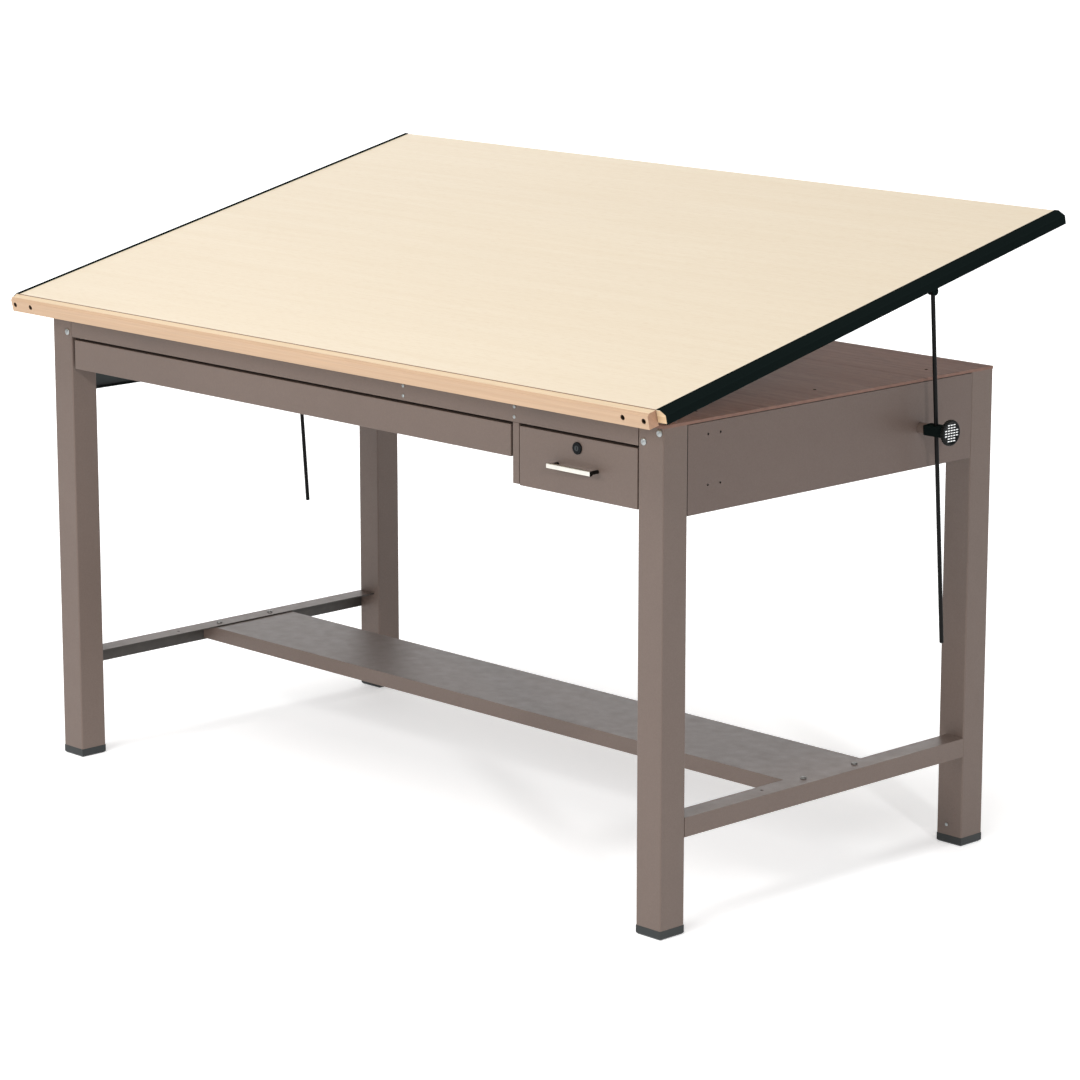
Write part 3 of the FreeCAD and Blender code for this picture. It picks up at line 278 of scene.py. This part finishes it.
def solid_wood(name, early, late, turn, pith, ring, top=None, end=None, shaded_holes=False):
    """Sawn hardwood along X: rings about a far pith, so that ends show arcs and sides show grain.

    top, if given, is a paler colour painted on the faces that lie level, a painted highlight for
    the light from above, and end the darker colour of the end grain. When the holes are shaded,
    the wood is painted dark down its holes and in other recesses, as painted shade.
    """
    g = Graph(name, Specular_IOR_Level=0.35)
    rings = g.node(
        "ShaderNodeTexWave",
        {
            "Vector": g.place((0.08, 1.0, 1.0), turn, pith),
            "Scale": ring,
            "Distortion": 1.3,
            "Detail": 2.0,
            "Detail Scale": 1.2,
        },
        wave_type="RINGS",
        rings_direction="X",
        wave_profile="SAW",
    ).outputs["Fac"]
    wobble = g.noise(g.place((0.5, 14.0, 14.0), turn), 1.0, detail=3.0)
    fibres = g.noise(g.place((9.0, 900.0, 900.0), turn), 1.0, detail=3.0)
    lines = g.noise(g.place((2.2, 260.0, 260.0), turn), 1.0, detail=3.0)
    pores = g.cells(g.place((60.0, 1500.0, 1500.0), turn), 1.0).outputs["Distance"]
    waves = g.sum(g.combine("MULTIPLY", rings, 0.55), wobble, 0.9)
    bands = g.span(waves, 0.25, 1.15)
    board = g.mix(bands, early, late)
    if top:
        # Painted highlight: level faces are paler, for the light from above.
        board = g.mix(g.span(g.facing("Z"), *SQUARE), board, g.mix(bands, top, shade(top, 0.95)))
    if end:
        board = g.mix(g.span(g.facing("X"), *SQUARE), board, g.mix(bands, end, shade(end, 0.85)))
    lined = g.multiply(board, g.mix(g.span(lines, 0.32, 0.68), grey(0.95), grey(1.04)))
    fibred = g.multiply(lined, g.vary(fibres, grey(1.0), 1.0 - FIBRE, 1.0 + FIBRE))
    pored = g.mix(g.span(pores, 0.14, 0.03, 0.0, 0.35), fibred, shade(late, 0.65))
    sanded = g.mix(g.edge_mask(1.4 * MM, 0.3), pored, shade(early, 1.08))
    if shaded_holes:
        # Painted shade: darker where the surface is enclosed, down holes and in recesses.
        sanded = g.mix(g.shelter(HOLE_REACH), sanded, shade(late, 0.08))
    gloss = g.spread(fibres, WOOD_ROUGHNESS - 0.05, WOOD_ROUGHNESS + 0.06)
    return g.finish(sanded, gloss, g.bump(g.sum(fibres, bands), 0.05 * MM, 0.4))


SCRATCH = 0.05
PAINTED_SHADE_LEVEL = 0.035
POST_BLEND = 0.2 * MM
BAR_END = (0.8, 0.9)


def bright_metal(name, colour, roughness, brushed, shadow=None):
    """Plated or brushed metal, with fine lines along the axis of least stretch.

    shadow, if given, is the Y of a bar's back face: the posts behind it and the bar's ends are
    painted near black, as painted shade on the posts and a painted dark reflection on the ends.
    """
    g = Graph(name, Metallic=1.0)
    lines = g.noise(g.place(brushed), 1.0, detail=4.0, roughness=0.65)
    cloud = g.noise(g.place(), 60.0)
    polished = g.mix(g.edge_mask(0.7 * MM, 0.3), g.vary(cloud, colour, 0.93, 1.06), shade(colour, 1.12))
    if shadow is not None:
        # Painted shade on the posts and a painted dark reflection on the bar's ends.
        posts = g.span(g.axis("Y"), shadow, shadow + POST_BLEND)
        painted_shade = g.combine("MAXIMUM", posts, g.span(g.facing("X"), *BAR_END))
        polished = g.mix(painted_shade, polished, shade(colour, PAINTED_SHADE_LEVEL))
    gloss = g.span(g.sum(lines, cloud, 0.4), 0.4, 1.0, roughness - SCRATCH, roughness + SCRATCH)
    return g.finish(polished, gloss, g.bump(lines, 0.01 * MM, 0.5))


def galvanised(name):
    """Hot-dip zinc with its crystal spangle."""
    g = Graph(name, Metallic=0.85)
    spangle = g.span(g.cells(g.place(), 95.0).outputs["Color"], 0.0, 1.0)
    tint = g.mix(spangle, (0.27, 0.28, 0.28), (0.43, 0.44, 0.44))
    rubbed = g.mix(g.edge_mask(0.8 * MM, 0.3), tint, grey(0.55))
    streaks = g.noise(g.place((200, 6, 200)), 1.0)
    return g.finish(rubbed, g.span(spangle, 0.0, 1.0, 0.38, 0.55), g.bump(streaks, 0.01 * MM, 0.4))


def moulded(name, colour, roughness, grain=420.0, depth=0.03 * MM, scuff=1.2, shine=0.4):
    """Moulded plastic or rubber with a fine spark-eroded texture."""
    g = Graph(name, Specular_IOR_Level=shine)
    texture = g.noise(g.place(), grain * 3.0)
    cloud = g.noise(g.place(), 25.0)
    tint = g.vary(cloud, colour, 0.8, 1.25)
    scuffed = g.mix(g.edge_mask(0.8 * MM, 0.3), tint, shade(colour, 1.0 + scuff))
    gloss = g.spread(cloud, roughness - 0.05, roughness + 0.06)
    return g.finish(scuffed, gloss, g.bump(texture, depth, 0.5))


TAUPE = (0.142, 0.105, 0.088)
# Painted shade: the side panels get a darker copy of the taupe, as they catch less light than the legs.
SHADED_PANEL_TAUPE = (0.126, 0.091, 0.077)
# Painted shade: dark colours for the inner faces of the side panels and the lower rails.
PANEL_INNER_SHADE = (0.026, 0.036, 0.036)
RAIL_INNER_SHADE = (0.052, 0.047, 0.043)
BOARD_TURN = (-TILT, 0.0, 0.0)
STRIP_PITH = (0.0, 0.60, -0.73)
CORE_PITH = (0.0, -0.20, -0.50)
HALF_SHEET = 0.6 * MM
# Half widths between the middles of the left and right sheets, which bound the painted inner
# shade, and the Y of the pull's back face, behind which the posts get painted shade
INSIDE_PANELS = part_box("side_panel_right")[1].x - HALF_SHEET
INSIDE_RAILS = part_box("lower_rail_right")[1].x - HALF_SHEET
PULL_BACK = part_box("tool_drawer_pull")[0].y + 7.0 * MM

paint = enamel("taupe_enamel", TAUPE, 0.42)
shaded_panel_paint = enamel("shaded_panel_enamel", SHADED_PANEL_TAUPE, 0.42, inside=(INSIDE_PANELS, PANEL_INNER_SHADE))
inner_shaded_rail_paint = enamel("inner_shaded_rail_enamel", TAUPE, 0.42, inside=(INSIDE_RAILS, RAIL_INNER_SHADE), walls=True)
black_paint = enamel("black_enamel", (0.0060, 0.0098, 0.0094), 0.45, speckle=0.10, wear=1.0, shine=0.0)
rod_paint = enamel("rod_black", (0.0040, 0.0042, 0.0042), 0.38, speckle=0.12, wear=1.0, shine=0.12)
board_face = wood_pattern_laminate(
    "pale_wood_laminate", (0.800, 0.690, 0.530), (0.720, 0.585, 0.415), BOARD_TURN
)
top_face = wood_pattern_laminate(
    "brown_wood_laminate",
    (0.205, 0.108, 0.080),
    (0.120, 0.058, 0.042),
    (0, 0, 0),
    streak=0.40,
    dash=0.6,
    roughness=0.55,
    shine=0.10,
    edge=(0.200, 0.118, 0.094),
)
strip_wood = solid_wood(
    "strip_hardwood_painted_light",
    (0.500, 0.345, 0.228),
    (0.468, 0.310, 0.196),
    BOARD_TURN,
    STRIP_PITH,
    40.0,
    # Painted highlight: the paler colour of the level faces.
    top=(0.770, 0.590, 0.390),
    end=(0.430, 0.250, 0.158),
    # Painted shade down the holes.
    shaded_holes=True,
)
core_wood = solid_wood(
    "core_softwood", (0.700, 0.530, 0.340), (0.580, 0.400, 0.230), BOARD_TURN, CORE_PITH, 16.0
)
joint_line = solid_wood(
    "joint_line", (0.210, 0.095, 0.048), (0.160, 0.070, 0.036), BOARD_TURN, STRIP_PITH, 40.0
)
zinc = bright_metal("bright_zinc", (0.36, 0.38, 0.38), 0.36, (300, 300, 300))
dull_zinc = bright_metal("dull_zinc", (0.29, 0.285, 0.275), 0.42, (300, 300, 300))
nickel = bright_metal("satin_nickel_painted_shade", (0.74, 0.72, 0.66), 0.32, (14, 1800, 1800), shadow=PULL_BACK)
grip_metal = bright_metal("grip_metal", (0.90, 0.92, 0.92), 0.22, (900, 300, 900))
slide_metal = galvanised("galvanised_slides")
foot_plastic = moulded("foot_plastic", (0.0120, 0.0155, 0.0160), 0.42)
knob_plastic = moulded(
    "knob_plastic", (0.0050, 0.0062, 0.0062), 0.34, grain=700.0, depth=0.01 * MM, scuff=0.4, shine=0.12
)
lock_black = bright_metal("lock_black", (0.011, 0.012, 0.013), 0.30, (500, 500, 500))
lock_core = bright_metal("lock_core", (0.050, 0.054, 0.056), 0.28, (1500, 1500, 200))
rubber = moulded("rubber", (0.016, 0.016, 0.016), 0.75, grain=300.0, depth=0.05 * MM)

FINISHES = {
    "body_paint": paint,
    "frame_black": black_paint,
    "foot_plastic": foot_plastic,
    "top_panel": top_face,
    "board_face": board_face,
    "board_wood": core_wood,
    "strip_wood": strip_wood,
    "zinc": zinc,
    "nickel": nickel,
    "lock_black": lock_black,
    "galvanised": slide_metal,
    "knob_plastic": knob_plastic,
    "rubber": rubber,
}
OWN_FINISH = {
    "support_rod_left": rod_paint,
    "support_rod_right": rod_paint,
    "side_panel_left": shaded_panel_paint,
    "side_panel_right": shaded_panel_paint,
    "lock_plug": lock_core,
    "lower_rail_left": inner_shaded_rail_paint,
    "lower_rail_right": inner_shaded_rail_paint,
    "shelf_bolts": dull_zinc,
}


# ---------------------------------------------------------------- CAD nodes

# How wide each node's rounded edges are, in millimetres
SOFT_EDGE = 0.6
EDGE_WIDTHS = {
    "front_strip": 1.0,
    "side_panel_left": 0.12,
    "side_panel_right": 0.12,
    "leg_front_left": 0.15,
    "leg_front_right": 0.15,
    "leg_rear_left": 0.15,
    "leg_rear_right": 0.15,
    "board_core": 0.4,
    "board_laminate": 0.4,
    "end_cleat_left": 0.5,
    "end_cleat_right": 0.5,
    "lock_plug": 0.2,
    "leg_screws": 0.25,
    "small_screws": 0.15,
    "base_top_screws": 0.15,
    "strip_screws": 0.15,
}
WELD_REACH = 0.002 * MM
FLAT_WITHIN = math.radians(0.4)
EDGE_FROM = math.radians(40)
ROUND_STEPS = 2
LARGE_FACES_RULE = 100


def soften(thing, width):
    """Clean faces and a small round on each edge, which catches the light."""
    weld = thing.modifiers.new("weld", "WELD")
    weld.merge_threshold = WELD_REACH
    clean = thing.modifiers.new("clean", "DECIMATE")
    clean.decimate_type = "DISSOLVE"
    clean.angle_limit = FLAT_WITHIN
    round_edges = thing.modifiers.new("round_edges", "BEVEL")
    round_edges.width = width
    round_edges.segments = ROUND_STEPS
    round_edges.limit_method = "ANGLE"
    round_edges.angle_limit = EDGE_FROM
    weighted = thing.modifiers.new("weighted", "WEIGHTED_NORMAL")
    weighted.weight = LARGE_FACES_RULE


def dress_cad_nodes():
    slots = {row["node"]: row["material_slot"] for row in frame["record"]["subparts"]}
    for name, thing in nodes.items():
        finish = OWN_FINISH.get(name, FINISHES[slots[name]])
        thing.data.materials.clear()
        thing.data.materials.append(finish)
        soften(thing, EDGE_WIDTHS.get(name, SOFT_EDGE) * MM)


dress_cad_nodes()


# ---------------------------------------------------------------- pieces


SMOOTH_UP_TO = math.radians(35)


def mesh_piece(name, made, material, body):
    """Turns a bmesh into a named piece that rides on a body."""
    bmesh.ops.recalc_face_normals(made, faces=made.faces)
    mesh = bpy.data.meshes.new(name)
    made.to_mesh(mesh)
    made.free()
    mesh.materials.append(material)
    mesh.shade_smooth()
    mesh.set_sharp_from_angle(angle=SMOOTH_UP_TO)
    thing = bpy.data.objects.new(name, mesh)
    bpy.context.scene.collection.objects.link(thing)
    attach(thing, body)
    return thing


def bridge(made, rings):
    """Quads between each ring of points and the next, and a face on each end."""
    count = len(rings[0])
    for first, second in zip(rings, rings[1:]):
        for step in range(count):
            after = (step + 1) % count
            made.faces.new((first[step], second[step], second[after], first[after]))
    made.faces.new(rings[0])
    made.faces.new(list(reversed(rings[-1])))


# Knob: along its axis from the hub's back, radius, and how deep the flutes are there (mm, mm, share)
KNOB_OUTLINE = (
    (0.0, 10.5, 0),
    (0.5, 11.0, 0),
    (4.2, 11.0, 0),
    (5.2, 12.2, 0),
    (7.2, 20.6, 0.3),
    (8.2, 23.0, 0.8),
    (9.6, 24.0, 1),
    (14.2, 24.0, 1),
    (15.6, 23.5, 0.8),
    (16.4, 22.5, 0.3),
    (16.6, 21.4, 0),
    (16.4, 20.3, 0),
    (15.4, 19.6, 0),
    (15.0, 19.0, 0),
)
KNOB_FLUTES = 30
FLUTE_STEPS = 6
FLUTE_DEPTH = 1.1 * MM
KNOB_FACE = KNOB_OUTLINE[-1][0] * MM


def knob_centre(name, sign):
    """The middle of the knob's back, on its axis."""
    low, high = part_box(name)
    back = low.x if sign > 0 else high.x
    return Vector((back, (low.y + high.y) / 2, (low.z + high.z) / 2))


def knob_form(side, sign):
    """Fluted hand knob with a dished face."""
    name = f"knob_{side}"
    centre = knob_centre(name, sign)
    made = bmesh.new()
    rings = []
    count = KNOB_FLUTES * FLUTE_STEPS
    for along, radius, share in KNOB_OUTLINE:
        ring = []
        for step in range(count):
            angle = math.tau * step / count
            valley = 0.5 - 0.5 * math.cos(KNOB_FLUTES * angle)
            reach = radius * MM - FLUTE_DEPTH * share * valley
            place = Vector((sign * along * MM, reach * math.cos(angle), reach * math.sin(angle)))
            ring.append(made.verts.new(centre + place))
        rings.append(ring)
    bridge(made, rings)
    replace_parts(mesh_piece(f"{name}_form", made, knob_plastic, name), name)


PAD_PITCH_Y = 7.6 * MM
PAD_PITCH_Z = 4.9 * MM
PAD_LENGTH = 5.3 * MM
PAD_WIDTH = 2.3 * MM
PAD_FIELD = 17.6 * MM
PAD_COLUMNS = range(-2, 3)
PAD_ROWS = range(-3, 4)
# A pad from its root to its crown: height over the knob's face, and how much of its width is left
PAD_LEVELS = ((-0.3 * MM, 1.0), (0.54 * MM, 1.0), (0.9 * MM, 0.7))


def pad(made, centre, sign, y, z):
    """One raised pad with a bevelled crown."""
    rings = []
    for rise, share in PAD_LEVELS:
        out = sign * (KNOB_FACE + rise)
        half_z = PAD_WIDTH / 2 * share
        half_y = PAD_LENGTH / 2 - (PAD_WIDTH / 2 - half_z)
        corners = ((y - half_y, z - half_z), (y + half_y, z - half_z))
        corners += ((y + half_y, z + half_z), (y - half_y, z + half_z))
        rings.append([made.verts.new(centre + Vector((out, across, up))) for across, up in corners])
    bridge(made, rings)


def knob_pads(side, sign):
    """The raised metal pads on the knob's face, in rows within a circle."""
    name = f"knob_{side}"
    centre = knob_centre(name, sign)
    made = bmesh.new()
    for column in PAD_COLUMNS:
        for row in PAD_ROWS:
            y = column * PAD_PITCH_Y
            z = row * PAD_PITCH_Z
            if math.hypot(y, z) <= PAD_FIELD:
                pad(made, centre, sign, y, z)
    mesh_piece(f"{name}_pads", made, grip_metal, name)


def board_front_edge():
    """The laminate's top front edge in the middle plane, and the board's up-slope and normal."""
    low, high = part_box("board_laminate")
    deep, tall = high.y - low.y, high.z - low.z
    thick = (tall * math.cos(TILT) - deep * math.sin(TILT)) / math.cos(2 * TILT)
    slope = Vector((0, math.cos(TILT), math.sin(TILT)))
    normal = Vector((0, -math.sin(TILT), math.cos(TILT)))
    edge = Vector((0, low.y, low.z + thick * math.cos(TILT)))
    return edge, slope, normal


JOINT_HALF = 1.5 * MM
JOINT_PROUD = 0.12 * MM
JOINT_SUNK = 0.30 * MM
JOINT_SPANS = 48


def strip_joint():
    """The thin glue line between the laminate and the wood strip, a low bead along the front."""
    edge, slope, normal = board_front_edge()
    low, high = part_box("front_strip")
    rising = ((-JOINT_HALF, -JOINT_SUNK), (-JOINT_HALF, 0.0), (-JOINT_HALF / 2, JOINT_PROUD))
    section = rising + tuple((-along, up) for along, up in reversed(rising))
    made = bmesh.new()
    rings = []
    for step in range(JOINT_SPANS + 1):
        start = edge + Vector((low.x + (high.x - low.x) * step / JOINT_SPANS, 0, 0))
        rings.append([made.verts.new(start + slope * along + normal * up) for along, up in section])
    bridge(made, rings)
    mesh_piece("strip_joint", made, joint_line, "board")


for side, sign in SIDES:
    knob_form(side, sign)
    knob_pads(side, sign)
strip_joint()


# ---------------------------------------------------------------- stage, light and camera


FLOOR_REACH = 60.0
FLOOR_GLOW = 0.46


def stage_floor():
    """A plain pale floor, which glows a little so that it stays white in the soft light."""
    glow = {"Emission_Color": (1.0, 1.0, 1.0, 1.0), "Emission_Strength": FLOOR_GLOW}
    g = Graph("pale_floor", Specular_IOR_Level=0.2, Roughness=0.8, **glow)
    drift = g.noise(g.place(), 0.6)
    material = g.finish(g.mix(g.spread(drift), grey(0.86), grey(0.89)))
    mesh = bpy.data.meshes.new("floor")
    corners = [(x * FLOOR_REACH, y * FLOOR_REACH, 0) for x, y in ((-1, -1), (1, -1), (1, 1), (-1, 1))]
    mesh.from_pydata(corners, [], [(0, 1, 2, 3)])
    mesh.materials.append(material)
    floor = bpy.data.objects.new("floor", mesh)
    bpy.context.scene.collection.objects.link(floor)


def aim(thing, direction):
    thing.rotation_mode = "QUATERNION"
    thing.rotation_quaternion = Vector(direction).to_track_quat("-Z", "Y")


def sun(name, azimuth, elevation, strength, angle):
    """A distant soft source. Azimuth 0 shines from the front (-Y), 90 from +X."""
    light = bpy.data.lights.new(name, "SUN")
    light.energy = strength
    light.angle = math.radians(angle)
    thing = bpy.data.objects.new(name, light)
    a, e = math.radians(azimuth), math.radians(elevation)
    towards = Vector((math.sin(a) * math.cos(e), -math.cos(a) * math.cos(e), math.sin(e)))
    aim(thing, -towards)
    bpy.context.scene.collection.objects.link(thing)


def softbox(name, place, target, size, power):
    light = bpy.data.lights.new(name, "AREA")
    light.shape = "RECTANGLE"
    light.size, light.size_y = size
    light.energy = power
    thing = bpy.data.objects.new(name, light)
    thing.location = place
    aim(thing, Vector(target) - Vector(place))
    bpy.context.scene.collection.objects.link(thing)


WORLD_STRENGTH = 0.32


def studio_light():
    """White surroundings, a high key, a low side light and two softboxes."""
    world = bpy.data.worlds.new("studio")
    world.use_nodes = True
    background = world.node_tree.nodes["Background"]
    background.inputs["Color"].default_value = (1.0, 1.0, 1.0, 1.0)
    background.inputs["Strength"].default_value = WORLD_STRENGTH
    bpy.context.scene.world = world
    sun("overhead", azimuth=10.0, elevation=72.0, strength=1.80, angle=30.0)
    sun("side", azimuth=62.0, elevation=20.0, strength=0.85, angle=4.0)
    softbox("front", place=(-0.1, -3.3, 2.05), target=(0.0, 0.0, 0.75), size=(2.4, 0.9), power=45.0)
    softbox("rear_left", place=(-4.6, 4.4, 2.2), target=(0.0, 0.0, 0.4), size=(5.0, 2.0), power=64.0)
    bpy.context.scene.view_settings.view_transform = "Standard"


CAMERA_LENS = 127.5
CAMERA_PLACE = (5.297, -5.0298, 2.1107)
CAMERA_YAW = math.radians(46.08)
CAMERA_PITCH = math.radians(12.35)
VIEW_REACH = 200.0


def stage_camera():
    """A long lens from the front right, looking a little down."""
    data = bpy.data.cameras.new("camera")
    data.lens = CAMERA_LENS
    data.clip_end = VIEW_REACH
    camera = bpy.data.objects.new("camera", data)
    camera.location = CAMERA_PLACE
    flat = math.cos(CAMERA_PITCH)
    aim(camera, (-math.sin(CAMERA_YAW) * flat, math.cos(CAMERA_YAW) * flat, -math.sin(CAMERA_PITCH)))
    bpy.context.scene.collection.objects.link(camera)
    bpy.context.scene.camera = camera


stage_floor()
studio_light()
stage_camera()
